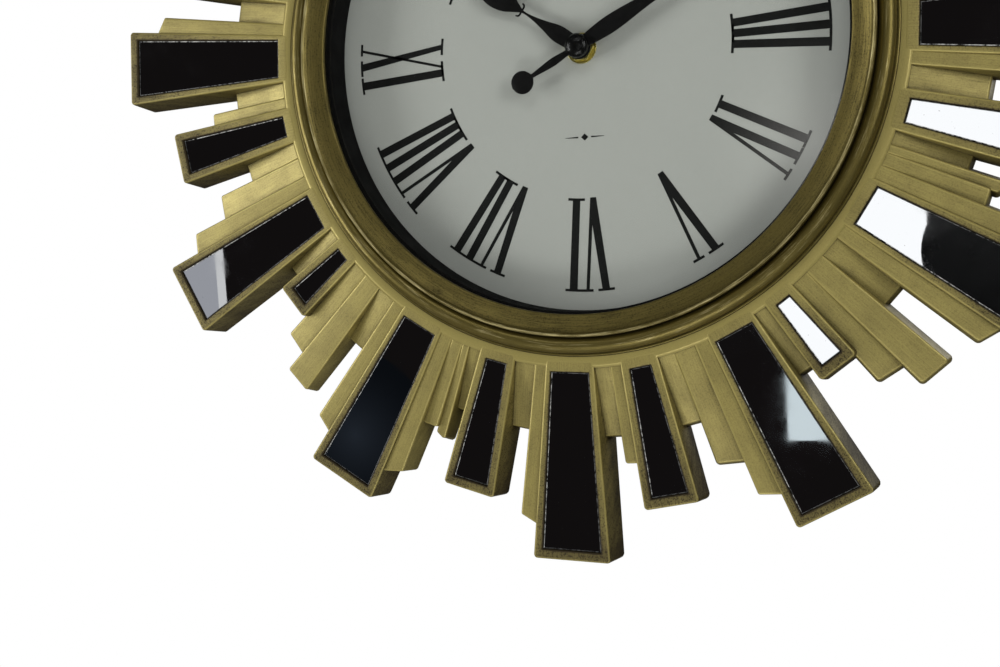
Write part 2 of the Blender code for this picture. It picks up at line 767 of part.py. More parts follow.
def hour_half_width(distance):
    cross = 2.9 if 31.3 < distance < 32.4 else 0.0
    leaf = smooth(HOUR_STATIONS, distance) if distance > -1 else 0.0
    return max(leaf, disc_width(distance, 0.0, 6.0), cross, 0.15)


def hands():
    disc_edge = [TAIL_DISC_AT + TAIL_DISC_RADIUS * math.cos(math.radians(a)) for a in range(10, 181, 17)]
    hub_edge = [5.2 * math.cos(math.radians(a)) for a in range(10, 171, 20)]
    stations = hand_distances(TAIL_DISC_AT, MINUTE_LENGTH, 26, *disc_edge, *hub_edge)
    outline = blade(stations, minute_half_width, MINUTE_AT)
    low = MINUTE_HAND_HEIGHT
    finish("minute_hand", plate(outline, low, low + HAND_THICKNESS, [circle(1.5, 16)]), black_paint())
    hub_edge = [6.0 * math.cos(math.radians(a)) for a in range(10, 181, 17)]
    stations = hand_distances(6.0, HOUR_LENGTH, 24, *hub_edge, 31.25, 31.35, 32.35, 32.45)
    outline = blade(stations, hour_half_width, HOUR_AT)
    low = HOUR_HAND_HEIGHT
    finish("hour_hand", plate(outline, low, low + HAND_THICKNESS, [circle(2.5, 16)]), black_paint())
    base = MINUTE_HAND_HEIGHT + HAND_THICKNESS + GAP
    foot = base + 0.5
    dome = [(radius, foot + (height - foot) * 0.55) for radius, height in arc((0.0, foot), 5.4, 0, 75, 5)]
    profile = [(0.0, base + 1.6), (1.5, base + 1.6), (1.5, base), (5.4, base), *dome, (0.0, base + 3.5)]
    finish("cap_nut", lathe(profile, 32), black_paint())


def main():
    clear_scene()
    axis = bpy.data.objects.new("clock_axis", None)
    axis.location = (0, 0, -NAIL_ABOVE_ARBOR * MM)
    bpy.context.scene.collection.objects.link(axis)
    sunburst_frame()
    mirror_strips()
    bezel_ring()
    glass_lens()
    well_ring()
    dial()
    board_screws()
    hanger()
    movement_case()
    movement_fixings()
    motion_work()
    gear_train()
    electrics()
    hands()


main()
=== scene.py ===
"""The looks of the sunburst wall clock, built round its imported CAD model.

Sizes are in millimetres around the hand arbor: x to the right and z up as seen from the front, and
height forward from the face of the flat ring. Clock angles are in degrees clockwise from twelve.
"""

import json
import math

import bmesh
import bpy
from mathutils import Matrix, Vector

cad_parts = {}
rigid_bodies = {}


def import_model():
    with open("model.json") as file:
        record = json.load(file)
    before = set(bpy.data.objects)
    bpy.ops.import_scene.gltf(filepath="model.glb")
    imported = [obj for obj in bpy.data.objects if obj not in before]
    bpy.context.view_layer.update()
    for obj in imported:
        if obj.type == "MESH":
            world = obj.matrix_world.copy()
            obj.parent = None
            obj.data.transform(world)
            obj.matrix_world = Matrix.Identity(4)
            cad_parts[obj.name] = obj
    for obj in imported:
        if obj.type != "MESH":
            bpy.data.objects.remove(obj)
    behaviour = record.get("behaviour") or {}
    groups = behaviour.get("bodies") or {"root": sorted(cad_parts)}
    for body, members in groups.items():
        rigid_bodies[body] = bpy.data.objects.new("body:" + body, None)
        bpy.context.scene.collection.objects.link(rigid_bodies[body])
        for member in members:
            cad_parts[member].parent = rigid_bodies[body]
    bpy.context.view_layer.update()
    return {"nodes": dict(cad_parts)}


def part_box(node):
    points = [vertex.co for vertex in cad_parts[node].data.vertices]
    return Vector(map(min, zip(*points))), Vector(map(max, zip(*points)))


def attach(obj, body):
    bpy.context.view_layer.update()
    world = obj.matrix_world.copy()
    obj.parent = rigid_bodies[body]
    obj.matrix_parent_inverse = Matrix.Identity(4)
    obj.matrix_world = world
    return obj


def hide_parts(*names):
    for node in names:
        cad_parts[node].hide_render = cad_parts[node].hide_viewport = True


MM = 0.001
WALL_HEIGHT = -44.0
NAIL_ABOVE_ARBOR = 125.0
SIDES = 240
DIAL_PRINT = -17.5

MINUTE_HAND_AT, MINUTE_HAND_HEIGHT = 62.0, -10.6
HOUR_HAND_AT, HOUR_HAND_HEIGHT = 305.2, -13.0
HUB_RADIUS = 5.4
GRAIN_SHIFT = 7.3  # gives each bar its own stretch of grain
GRAIN_RADIUS = 130  # turns an angle into a length along the brushing of the turned pieces

# The studio, in metres
CARD_PLANE = -1.5
FLOOR_HEIGHT = -2.4
DARK_ROOM = 0.0055
CAMERA_AT = (0.15284, -0.5810, -0.22392)
CAMERA_AHEAD = (-0.3341, 0.9414, -0.0477)
CAMERA_UP = (0.0203, 0.0578, 0.9982)
CAMERA_LENS, CAMERA_SENSOR = 45.7, 36.0  # mm

RAY_TURN = 2.4
RAY_ROOT = 139.2
FACE_FALL = 5.45 / 92
MIRROR_ROOT = 144.3
RECESS_DEPTH = 2.35
LARGE_RAY = {"half_angle": 4.5, "length": 230.5, "back": -24.7, "mirror_end": 225.8}
SMALL_RAYS = (
    {"middle": 13.8, "half_angle": 3.5, "length": 206.8, "back": -21.4, "border": 3.8, "mirror_end": 202.2},
    {"middle": 20.3, "half_angle": 2.9, "length": 180.6, "back": -21.2, "border": 3.8, "mirror_end": 175.8},
    {"middle": 17.25, "half_angle": 3.45, "length": 207.2, "back": -21.3, "border": 3.8, "mirror_end": 202.4},
)
# The slats between two large rays repeat every three hours: (start, end, reach at the start, reach at
# the end, drop at the root, height at the outer end). ROOT_STEP is the share of the drop that is kept.
ROOT_STEP = 0.4
SLATS = (
    (
        (4.2, 6.6, 215.5, 211.5, -1.0, -6.2),
        (6.4, 10.8, 173.5, 173.5, -1.8, -12.2),
        (16.9, 19.8, 173.7, 173.7, -2.0, -12.6),
        (19.5, 21.1, 190.0, 187.5, -1.7, -10.4),
        (20.9, 23.3, 184.6, 185.4, -1.5, -7.0),
        (23.1, 25.9, 211.0, 216.0, -1.2, -5.8),
    ),
    (
        (4.2, 6.9, 215.5, 211.5, -1.0, -6.4),
        (6.7, 10.7, 174.0, 174.0, -1.9, -11.6),
        (10.5, 14.4, 208.0, 206.9, -1.4, -9.0),
        (14.2, 17.9, 196.7, 194.8, -1.7, -10.4),
        (22.8, 25.9, 173.6, 173.6, -1.6, -9.8),
    ),
    (
        (4.2, 7.1, 215.5, 211.5, -1.1, -7.4),
        (6.9, 10.9, 197.0, 194.0, -1.9, -12.8),
        (10.7, 14.3, 174.0, 174.0, -1.7, -10.2),
        (20.2, 22.7, 187.0, 186.4, -1.8, -8.6),
        (22.5, 25.9, 174.2, 174.2, -2.0, -11.4),
    ),
)

for thing in list(bpy.data.objects):
    bpy.data.objects.remove(thing, do_unlink=True)
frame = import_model()
nodes = frame["nodes"]


def at(x, z, height):
    return (x * MM, -(height - WALL_HEIGHT) * MM, (z - NAIL_ABOVE_ARBOR) * MM)


# Materials


class Shader:
    """A Principled material whose sockets take procedural nodes."""

    def __init__(self, name, roughness=0.5, metallic=0.0):
        self.material = bpy.data.materials.new(name)
        self.material.use_nodes = True
        self.tree = self.material.node_tree
        self.principled = self.tree.nodes["Principled BSDF"]
        self.principled.inputs["Roughness"].default_value = roughness
        self.principled.inputs["Metallic"].default_value = metallic

    def node(self, kind, settings=(), **inputs):
        """inputs are sockets by name, with _ for a space, or by number after a _."""
        made = self.tree.nodes.new(kind)
        for name, value in dict(settings).items():
            setattr(made, name, value)
        for name, value in inputs.items():
            socket = made.inputs[int(name[1:]) if name[0] == "_" else name.replace("_", " ")]
            if isinstance(value, bpy.types.NodeSocket):
                self.tree.links.new(value, socket)
            else:
                socket.default_value = value
        return made

    def coordinates(self, attribute=None, scale=(1.0, 1.0, 1.0)):
        if attribute:
            source = self.node("ShaderNodeAttribute", {"attribute_name": attribute}).outputs["Vector"]
        else:
            source = self.node("ShaderNodeTexCoord").outputs["Object"]
        return self.node("ShaderNodeMapping", Vector=source, Scale=scale).outputs["Vector"]

    def noise(self, vector, scale, detail=4.0, roughness=0.55):
        made = self.node(
            "ShaderNodeTexNoise", Vector=vector, Scale=scale, Detail=detail, Roughness=roughness
        )
        return made.outputs["Fac"]

    def ramp(self, value, low, high, to_low=0.0, to_high=1.0):
        made = self.node(
            "ShaderNodeMapRange",
            {"clamp": True},
            Value=value,
            From_Min=low,
            From_Max=high,
            To_Min=to_low,
            To_Max=to_high,
        )
        return made.outputs["Result"]

    def math(self, operation, first, second):
        return self.node("ShaderNodeMath", {"operation": operation}, _0=first, _1=second).outputs[0]

    def mix(self, factor, first, second):
        made = self.node("ShaderNodeMix", {"data_type": "RGBA"})
        for socket, value in ((made.inputs[0], factor), (made.inputs[6], first), (made.inputs[7], second)):
            if isinstance(value, bpy.types.NodeSocket):
                self.tree.links.new(value, socket)
            elif isinstance(value, tuple):
                socket.default_value = (*value, 1.0)
            else:
                socket.default_value = value
        return made.outputs[2]

    def link(self, value, socket):
        self.tree.links.new(value, self.principled.inputs[socket])

    def bump(self, height, strength, distance):
        made = self.node("ShaderNodeBump", Height=height, Strength=strength, Distance=distance)
        self.link(made.outputs["Normal"], "Normal")


def gold_paint(name, light, dark, rubbed_and_highlight, streak, soil_and_shade=1.0, metallic=0.4):
    """Champagne paint brushed along the grain, with a brown wash left in hollows and worn off edges. Ambient
    occlusion adds painted shade in the hollows, and the lighter rubbed edges and crests are partly painted
    highlight.
    """
    paint = Shader(name, metallic=metallic)
    grain = paint.coordinates("grain")
    along = paint.noise(paint.coordinates("grain", (0.07, 1.9, 1.0)), 1.0, 8.0, 0.7)
    fine = paint.noise(paint.coordinates("grain", (1.1, 4.5, 1.0)), 1.0, 4.0)
    blotch = paint.noise(grain, 0.06, 3.0)
    wash = paint.node("ShaderNodeAttribute", {"attribute_name": "wash"}).outputs["Fac"]
    # Painted shade: ambient occlusion darkens the paint in grooves and hollows where the moulding shades
    # itself.
    hollow = paint.node("ShaderNodeAmbientOcclusion", {"samples": 6}, Distance=0.0045).outputs["AO"]
    hollow_shade = paint.ramp(hollow, 0.3, 0.75, soil_and_shade, 0.0)
    ragged = paint.ramp(along, 0.35, 0.7, -0.35, 0.35)
    amount = paint.math("ADD", paint.math("MULTIPLY", wash, soil_and_shade), paint.math("MULTIPLY", ragged, streak))
    amount = paint.math("ADD", amount, paint.math("MULTIPLY", paint.ramp(blotch, 0.4, 0.7), 0.22))
    specks = paint.ramp(paint.noise(paint.coordinates(), 1500.0, 3.0, 0.6), 0.5, 0.66)
    # Lighter, less metallic paint where it is rubbed on edges and crests: real wear and partly a painted
    # highlight.
    bare_and_highlit = paint.ramp(amount, -0.95, -0.3, 1.0, 0.0)
    speckled = paint.ramp(wash, -0.1, 0.5, 0.12, 0.45)
    amount = paint.math("ADD", amount, paint.math("MULTIPLY", specks, speckled))
    amount = paint.ramp(paint.math("ADD", amount, hollow_shade), 0.0, 1.1)
    body = paint.mix(paint.ramp(fine, 0.3, 0.7), light, tuple(0.82 * c for c in light))
    paint.link(paint.mix(bare_and_highlit, paint.mix(amount, body, dark), rubbed_and_highlight), "Base Color")
    paint.link(paint.ramp(bare_and_highlit, 0.0, 1.0, metallic, 0.1), "Metallic")
    paint.link(paint.ramp(amount, 0.0, 1.0, 0.36, 0.62), "Roughness")
    paint.bump(paint.math("ADD", fine, along), 0.16, 0.0003)
    return paint.material


def plain(
    name,
    colour,
    roughness,
    metallic=0.0,
    grain=(1.0, 1.0, 1.0),
    scale=300.0,
    vary=0.25,
    bump=0.1,
    specular=0.5,
):
    """A surface with its own fine grain, uneven colour and uneven gloss."""
    made = Shader(name, roughness, metallic)
    noise = made.noise(made.coordinates(scale=grain), scale)
    cloud = made.noise(made.coordinates(), scale / 12)
    tone = made.mix(made.ramp(noise, 0.3, 0.7), colour, tuple((1 - vary) * c for c in colour))
    tone = made.mix(made.ramp(cloud, 0.45, 0.75, 0.0, 0.5), tone, tuple((1 - vary) * c for c in colour))
    made.link(tone, "Base Color")
    made.link(made.ramp(cloud, 0.3, 0.7, roughness * 0.85, min(roughness * 1.2, 1.0)), "Roughness")
    made.bump(noise, bump, 0.0002)
    made.principled.inputs["Specular IOR Level"].default_value = specular
    return made.material


def silvered_mirror():
    mirror = Shader("silvered_mirror", 0.015, 1.0)
    cloud = mirror.noise(mirror.coordinates(), 60.0, 5.0)
    speck = mirror.noise(mirror.coordinates(), 900.0, 2.0)
    worn = mirror.ramp(speck, 0.72, 0.8)
    mirror.link(mirror.mix(worn, (0.86, 0.88, 0.9), (0.45, 0.45, 0.46)), "Base Color")
    mirror.link(mirror.ramp(cloud, 0.4, 0.8, 0.008, 0.06), "Roughness")
    mirror.bump(mirror.noise(mirror.coordinates(), 9.0, 1.0), 0.05, 0.0002)
    return mirror.material


def ground_glass():
    """The ground and chipped edge of the mirror glass, whiter where its point value is high: the ground edge
    is really frosted, and one side of each mirror made far brighter than the others is a painted glint.
    """
    edge = Shader("ground_glass_edge", 0.3)
    chips = edge.ramp(edge.noise(edge.coordinates(), 620.0, 3.0), 0.38, 0.62)
    frost_and_glint = edge.node("ShaderNodeAttribute", {"attribute_name": "wash"}).outputs["Fac"]
    white = edge.math("MULTIPLY", chips, frost_and_glint)
    edge.link(edge.mix(white, (0.02, 0.02, 0.02), (0.95, 0.95, 0.9)), "Base Color")
    edge.link(edge.ramp(chips, 0.0, 1.0, 0.15, 0.6), "Roughness")
    edge.bump(chips, 0.4, 0.0002)
    return edge.material


def clear_glass():
    """Flat glass that lets light straight through and keeps its own reflections."""
    glass = Shader("clear_glass", 0.02)
    tree = glass.tree
    through = glass.node("ShaderNodeBsdfTransparent", Color=(0.985, 0.99, 0.985, 1.0))
    smear = glass.ramp(glass.noise(glass.coordinates(), 25.0, 3.0), 0.4, 0.8, 0.01, 0.05)
    shine = glass.node("ShaderNodeBsdfGlossy", Color=(1.0, 1.0, 1.0, 1.0), Roughness=smear)
    grazing = glass.math("POWER", glass.node("ShaderNodeLayerWeight", Blend=0.5).outputs["Facing"], 5.0)
    share = glass.ramp(grazing, 0.0, 1.0, 0.035, 0.9)
    blend = glass.node("ShaderNodeMixShader", _0=share, _1=through.outputs[0], _2=shine.outputs[0])
    tree.links.new(blend.outputs[0], tree.nodes["Material Output"].inputs["Surface"])
    return glass.material


def printed_dial():
    """Matt printed card in warm grey, with painted shade darkening it towards its edge."""
    card = Shader("printed_dial", 0.7)
    centre = card.node("ShaderNodeVectorMath", {"operation": "DISTANCE"})
    card.tree.links.new(card.node("ShaderNodeTexCoord").outputs["Object"], centre.inputs[0])
    centre.inputs[1].default_value = at(0.0, 0.0, DIAL_PRINT)
    fibre = card.noise(card.coordinates(), 700.0, 3.0)
    cloud = card.noise(card.coordinates(), 14.0, 2.0)
    tone = card.mix(card.ramp(fibre, 0.3, 0.7), (0.52, 0.535, 0.495), (0.5, 0.515, 0.475))
    tone = card.mix(card.ramp(cloud, 0.35, 0.75, 0.0, 0.35), tone, (0.475, 0.49, 0.455))
    # Painted shade: the card darkens towards the well wall round its edge.
    edge = card.ramp(centre.outputs["Value"], 0.095, 0.125, 0.0, 0.35)
    card.link(card.mix(edge, tone, (0.35, 0.36, 0.34)), "Base Color")
    card.bump(fibre, 0.05, 0.0001)
    return card.material


RAY_GOLD = gold_paint("ray_gold", (0.47, 0.39, 0.12), (0.04, 0.027, 0.007), (0.56, 0.48, 0.19), 0.5)
# A darker, browner copy of the ray paint: its darkness is partly a browner finish and partly painted shade on
# the cove, bead and lip.
BEZEL_GOLD_SHADED = gold_paint(
    "bezel_gold_shaded", (0.19, 0.15, 0.038), (0.012, 0.009, 0.002), (0.72, 0.62, 0.3), 1.3, 0.35, 0.75
)
HAND_BLACK = plain("hand_black", (0.006, 0.006, 0.006), 0.45, vary=0.5, specular=0.15)
INK = plain("dial_ink", (0.009, 0.01, 0.009), 0.6, vary=0.4, specular=0.2)
BRASS = plain("turned_brass", (0.88, 0.76, 0.24), 0.28, 1.0, scale=500.0, vary=0.12)
ZINC = plain("zinc_plate", (0.6, 0.6, 0.62), 0.3, 1.0, grain=(1.0, 1.0, 6.0), vary=0.2)
IRON = plain("bare_iron", (0.36, 0.36, 0.38), 0.4, 1.0)
COPPER = plain("enamelled_copper", (0.62, 0.25, 0.1), 0.35, 1.0, grain=(14.0, 1.0, 1.0))
CASE_BLACK = plain("moulded_black", (0.018, 0.018, 0.019), 0.45, scale=1400.0, bump=0.25)
RUBBER = plain("rubber", (0.015, 0.015, 0.015), 0.8)
ACETAL = plain("acetal", (0.78, 0.78, 0.74), 0.35, vary=0.06)
CIRCUIT = plain("circuit_green", (0.03, 0.16, 0.06), 0.35, vary=0.4)
WELL_BLACK = plain("well_black", (0.007, 0.007, 0.007), 0.8, scale=900.0, specular=0.1)
GROUND_GLASS = ground_glass()
HARDBOARD = plain("hardboard", (0.2, 0.115, 0.055), 0.75, scale=420.0, vary=0.45, bump=0.4)
MIRROR = silvered_mirror()
GLASS = clear_glass()
DIAL = printed_dial()


# Geometry helpers


def polar(radius, clock_angle):
    angle = math.radians(clock_angle)
    return (radius * math.sin(angle), radius * math.cos(angle))


class Shell:
    """Points, faces and paint attributes of a piece. Each point's wash is how much brown is left, from -1 to
    1;
    below zero the paint is rubbed lighter, which is partly a painted highlight. grain is (along, across) in
    millimetres."""

    def __init__(self):
        self.points, self.faces, self.wash, self.grain = [], [], [], []

    def loop(self, corners, wash=0.0, end=math.inf):
        """corners are (x, z, height, along, across). Past end the paint is browner."""
        first = len(self.points)
        for x, z, height, along, across in corners:
            self.points.append(at(x, z, height))
            self.wash.append(wash + 0.55 if along > end else wash)
            self.grain.append((along, across, 0.0))
        return list(range(first, len(self.points)))

    def bridge(self, low, high, closed=True):
        count = len(low)
        for i in range(count if closed else count - 1):
            j = (i + 1) % count
            self.faces.append((low[i], low[j], high[j], high[i]))

    def piece(self, name, material, body, node_names=(), sharp=35.0):
        mesh = bpy.data.meshes.new(name)
        mesh.from_pydata(self.points, [], self.faces)
        mesh.attributes.new("wash", "FLOAT", "POINT").data.foreach_set("value", self.wash)
        flat = [value for vector in self.grain for value in vector]
        mesh.attributes.new("grain", "FLOAT_VECTOR", "POINT").data.foreach_set("vector", flat)
        mesh.materials.append(material)
        made = bpy.data.objects.new(name, mesh)
        bpy.context.scene.collection.objects.link(made)
        tidy_normals(made, sharp)
        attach(made, body)
        if node_names:
            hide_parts(*node_names)
        return made


def tidy_normals(thing, sharp):
    shell = bmesh.new()
    shell.from_mesh(thing.data)
    bmesh.ops.recalc_face_normals(shell, faces=shell.faces)
    shell.to_mesh(thing.data)
    shell.free()
    thing.data.shade_smooth()
    thing.data.set_sharp_from_angle(angle=math.radians(sharp))


def offset_corners(corners, distance):
    """A convex quad with each side moved inwards by the distance. Its corners run clockwise."""
    lines = []
    for i in range(4):
        a, b = Vector(corners[i]), Vector(corners[(i + 1) % 4])
        run = (b - a).normalized()
        inward = Vector((run.y, -run.x))
        lines.append((a + inward * distance, run))
    moved = []
    for i in range(4):
        (p, r), (q, s) = lines[i - 1], lines[i]
        cross = r.x * s.y - r.y * s.x
        t = ((q - p).x * s.y - (q - p).y * s.x) / cross
        moved.append(p + r * t)
    return moved


def rounded(corners, radius, steps=4):
    """A loop of steps + 1 points round each corner."""
    loop = []
    for i in range(4):
        here, before, after = (Vector(corners[k % 4]) for k in (i, i - 1, i + 1))
        to_before, to_after = (before - here).normalized(), (after - here).normalized()
        half = to_before.angle(to_after) / 2
        shorter = min((before - here).length, (after - here).length)
        reach = min(radius / math.tan(half), 0.45 * shorter)
        bisector = (to_before + to_after).normalized()
        size = reach * math.tan(half)
        centre = here + bisector * (size / math.sin(half))
        start, end = here + to_before * reach - centre, here + to_after * reach - centre
        for k in range(steps + 1):
            spoke = start.lerp(end, k / steps)
            loop.append(centre + spoke.normalized() * size)
    return loop


def bar(shell, middle, corners, face, back, rings, hole=(), corner_radius=1.7, end=math.inf):
    """A radial bar. face gives the height of its front at a distance along it; rings are
    (inset, depth below the face, wash and highlight) from the sides to the front, and hole the same from the
    front to the floor of its recess, about the corners of the recess."""
    along, across = Vector(polar(1, middle)), Vector(polar(1, middle + 90))

    def place(loop, depth, wash, flat=None):
        points = []
        for p in loop:
            run = p.dot(along)
            height = flat if flat is not None else face(run) - depth
            points.append((p.x, p.y, height, run, p.dot(across) + GRAIN_SHIFT * middle))
        return shell.loop(points, wash, end)

    outline, recess = corners
    loops = [place(rounded(offset_corners(outline, -1.5), corner_radius + 0.8), 0, 0.45, back)]
    loops.append(place(rounded(offset_corners(outline, -0.12), corner_radius + 0.1), 2.2, 0.2))
    for inset, depth, wash in rings:
        corner = max(corner_radius - inset, 0.2)
        loops.append(place(rounded(offset_corners(outline, inset), corner), depth, wash))
    for inset, depth, wash in hole:
        loops.append(place(rounded(offset_corners(recess, inset), 0.35), depth, wash))
    for low, high in zip(loops, loops[1:]):
        shell.bridge(low, high)
    shell.faces.append(tuple(reversed(loops[0])))
    shell.faces.append(tuple(loops[-1]))


def wedge_corners(start, end, root, reach_start, reach_end):
    """The corners clockwise as seen from the front: root, end, end, root."""
    return [polar(root, start), polar(reach_start, start), polar(reach_end, end), polar(root, end)]


def lathe(shell, profile, sides=SIDES, closed=True):
    """Turns a profile of (radius, height, wash and highlight) about the arbor."""
    loops, across = [], 0.0
    before = profile[0]
    for radius, height, wash in profile:
        across += math.hypot(radius - before[0], height - before[1])
        before = (radius, height)
        turns = [360 * i / sides for i in range(sides)]
        points = [(*polar(radius, turn), height, math.radians(turn) * GRAIN_RADIUS, across) for turn in turns]
        loops.append(shell.loop(points, wash))
    for low, high in zip(loops, loops[1:] + (loops[:1] if closed else [])):
        shell.bridge(low, high)
    return loops


def arc(centre, radius, start, end, count, wash):
    """Profile points from start to end degrees. Wash and highlight is a function of the share of the arc."""
    points = []
    for i in range(count + 1):
        turn = math.radians(start + (end - start) * i / count)
        x, y = centre[0] + radius * math.cos(turn), centre[1] + radius * math.sin(turn)
        points.append((x, y, wash(i / count)))
    return points


# The frame: rays, slats, flat ring and drum


def ray_face(run):
    return -FACE_FALL * (run - 141.4) - 0.02


# From the sides round the front edge: the lighter band just inside the edge is rubbed paint and partly a
# painted highlight.
FACE_EDGE = ((0.0, 1.1, 0.25), (0.1, 0.5, -0.1), (0.32, 0.16, -0.5), (0.7, 0.02, -0.2), (1.1, 0.0, 0.12))
HOLE_EDGE = (
    (-0.75, 0.0, 0.18), (-0.35, 0.03, 0.45), (-0.12, 0.2, 0.75), (0.0, 0.55, 1.0), (0.02, RECESS_DEPTH, 1.0)
)


def rays():
    for hour in range(12):
        yield RAY_TURN + 30 * hour, LARGE_RAY
        small = SMALL_RAYS[hour % 3]
        yield RAY_TURN + 30 * hour + small["middle"], small


DRUM = (
    (137.03, -3.9, 1.0), (137.03, -0.3, 0.6), (137.15, -0.06, 0.2), (137.5, 0.0, -0.15), (140.6, 0.0, -0.15),
    (141.2, -0.05, -0.2), (141.6, -0.3, -0.2), (142.2, -0.75, 0.0), (142.3, -1.4, 0.4), (142.3, -25.2, 0.5),
    (141.4, -26.2, 0.2), (140.0, -27.0, 0.4), (140.0, -42.8, 0.2), (139.6, -43.8, 0.0), (138.9, -44.0, 0.1),
    (133.3, -44.0, 0.1), (132.5, -43.8, 0.0), (132.2, -43.0, 0.3), (132.2, -17.8, 0.7), (126.5, -17.8, 0.7),
    (126.5, -4.0, 0.8),
)


def sunburst():
    shell = Shell()
    for middle, ray in rays():
        half, reach = ray["half_angle"], ray["length"]
        outline = wedge_corners(middle - half, middle + half, RAY_ROOT, reach, reach)
        corners = outline, mirror_recess(middle, ray)
        bar(shell, middle, corners, ray_face, ray["back"], FACE_EDGE, HOLE_EDGE, end=ray["mirror_end"] - 2)
    for hour in range(12):
        for number, slat in enumerate(SLATS[hour % 3]):
            start, end = (RAY_TURN + 30 * hour + angle for angle in slat[:2])
            reach_start, reach_end, root_drop, end_height = slat[2:]
            longest = max(reach_start, reach_end)

            def face(run, low=ROOT_STEP * root_drop, high=end_height, longest=longest):
                return low + (high - low) * (run - RAY_ROOT) / (longest - RAY_ROOT)

            # Neighbours overlap, so no two have their roots or their backs at one place.
            outline = wedge_corners(start, end, RAY_ROOT + 0.2 * number + 0.1, reach_start, reach_end)
            back = -19.0 - 0.35 * number
            bar(shell, (start + end) / 2, (outline, None), face, back, FACE_EDGE, (), 1.3)
    lathe(shell, DRUM)
    shell.piece("sunburst", RAY_GOLD, "clock", ["sunburst_frame"], 40.0)


def mirror_recess(middle, ray):
    """The corners of a mirror's recess, in the order of wedge_corners. Its border keeps the same angle
    along a large ray and the same width along a small one."""
    root, end = MIRROR_ROOT, ray["mirror_end"]
    borders = (1.0 if ray is LARGE_RAY else math.degrees(ray["border"] / radius) for radius in (root, end))
    near, far = (ray["half_angle"] - border for border in borders)
    sides = [polar(root, middle - near), polar(end, middle - far)]
    return sides + [polar(end, middle + far), polar(root, middle + near)]


# (inset, depth below the face), and how white the sides are, from the real frosted edge and a painted glint
# that makes one side far brighter: first clockwise, outer end, second, root.
CHAMFER = ((0.3, 1.7), (0.34, 1.12), (0.66, 1.0), (0.7, 1.3))
SIDE_FROST_AND_GLINT = (0.25, 0.1, 1.0, 0.12)


def mirror_edges():
    """The ground chamfer round each strip of mirror glass."""
    shell = Shell()
    for middle, ray in rays():
        along = Vector(polar(1, middle))
        recess = mirror_recess(middle, ray)
        levels = [(offset_corners(recess, inset), depth) for inset, depth in CHAMFER]
        for side, frost_and_glint in enumerate(SIDE_FROST_AND_GLINT):
            loops = []
            for corners, depth in levels:
                ends = [(p, p.dot(along)) for p in (corners[side], corners[(side + 1) % 4])]
                points = [(p.x, p.y, ray_face(run) - depth, run, 0.0) for p, run in ends]
                loops.append(shell.loop(points, frost_and_glint))
            for low, high in zip(loops, loops[1:]):
                shell.bridge(low, high, closed=False)
    shell.piece("mirror_edges", GROUND_GLASS, "clock", (), 20.0)


BEZEL_FOOT = (
    (121.9, -3.7, 0.8), (137.0, -3.7, 0.8), (137.0, -0.4, 0.9), (136.9, 0.0, 0.1), (136.6, 0.2, -0.5),
    (136.25, 0.22, -0.3), (136.0, 0.12, 0.3), (135.8, 0.1, 0.8),
)
# The lip's flat top is rubbed light, which also serves as a painted highlight line.
BEZEL_LIP = (
    (128.4, 1.2, 0.5), (128.36, 2.0, 0.35), (128.22, 5.6, -0.2), (128.1, 6.7, -1.2), (127.75, 7.08, -1.4),
    (127.2, 7.0, -1.4), (126.8, 6.75, -1.2),
)
BEZEL_COVE = (
    (126.5, 6.3, 0.6), (125.6, 5.75, 0.5), (124.0, 4.95, 0.42), (122.4, 4.3, 0.42), (120.6, 3.75, 0.5),
    (119.0, 3.35, 0.45), (118.55, 3.15, 0.1), (118.32, 2.8, 0.5), (118.3, 1.5, 1.0), (121.9, 1.5, 1.0),
)


def bezel():
    shell = Shell()
    # The bead's crest is rubbed lighter, partly a painted highlight along its top.
    bead = arc((132.0, 1.2), 3.6, -8, 188, 20, lambda t: 0.7 - 1.35 * math.sin(math.pi * t) ** 1.6)
    lathe(shell, (*BEZEL_FOOT, *bead, *BEZEL_LIP, *BEZEL_COVE))
    shell.piece("bezel", BEZEL_GOLD_SHADED, "clock", ["bezel_ring"], 40.0)


def well():
    shell = Shell()
    profile = [(117.3, -1.3), (121.5, -1.3), (121.5, -4.0), (126.2, -4.0), (126.2, -17.2)]
    profile += [(117.6, -17.2), (117.3, -16.9)]
    lathe(shell, [(radius, height, 0.0) for radius, height in profile])
    shell.piece("well_wall", WELL_BLACK, "clock", ["well_ring"], 30.0)


# The dial's print

STROKE_IN, STROKE_OUT = 67.2, 109.0
SERIF = 1.15


def slab(shell, corners, low=DIAL_PRINT + 0.02, high=DIAL_PRINT + 0.07):
    loops = [shell.loop([(x, z, height, x, z) for x, z in corners]) for height in (low, high)]
    shell.bridge(*loops)
    shell.faces += [tuple(loops[1]), tuple(reversed(loops[0]))]


def stroke(shell, hour_angle, inner, outer):
    """A stroke between (left, right) angles at its inner and outer ends."""
    quad = [polar(STROKE_IN, hour_angle + inner[0]), polar(STROKE_OUT, hour_angle + outer[0])]
    quad += [polar(STROKE_OUT, hour_angle + outer[1]), polar(STROKE_IN, hour_angle + inner[1])]
    slab(shell, quad)


def serif(shell, hour_angle, left, right, outside):
    radii = (STROKE_OUT - SERIF, STROKE_OUT) if outside else (STROKE_IN - 0.3, STROKE_IN + SERIF - 0.3)
    steps = [left + (right - left) * i / 4 for i in range(5)]
    edge = [polar(radii[0], hour_angle + a) for a in steps]
    edge += [polar(radii[1], hour_angle + a) for a in reversed(steps)]
    slab(shell, edge, high=DIAL_PRINT + 0.08)


def bar_angles(centre, radius, width):
    half = math.degrees(width / 2 / radius)
    return (centre - half, centre + half)


# The angle at which a letter starts after the one before it, by the letter and the one before.
ADVANCE = {
    "I": {"": 0.0, "I": 3.85, "V": 9.05, "X": 9.9},
    "V": {"": 0.0, "I": 3.3},
    "X": {"": 0.0, "I": 3.65},
}


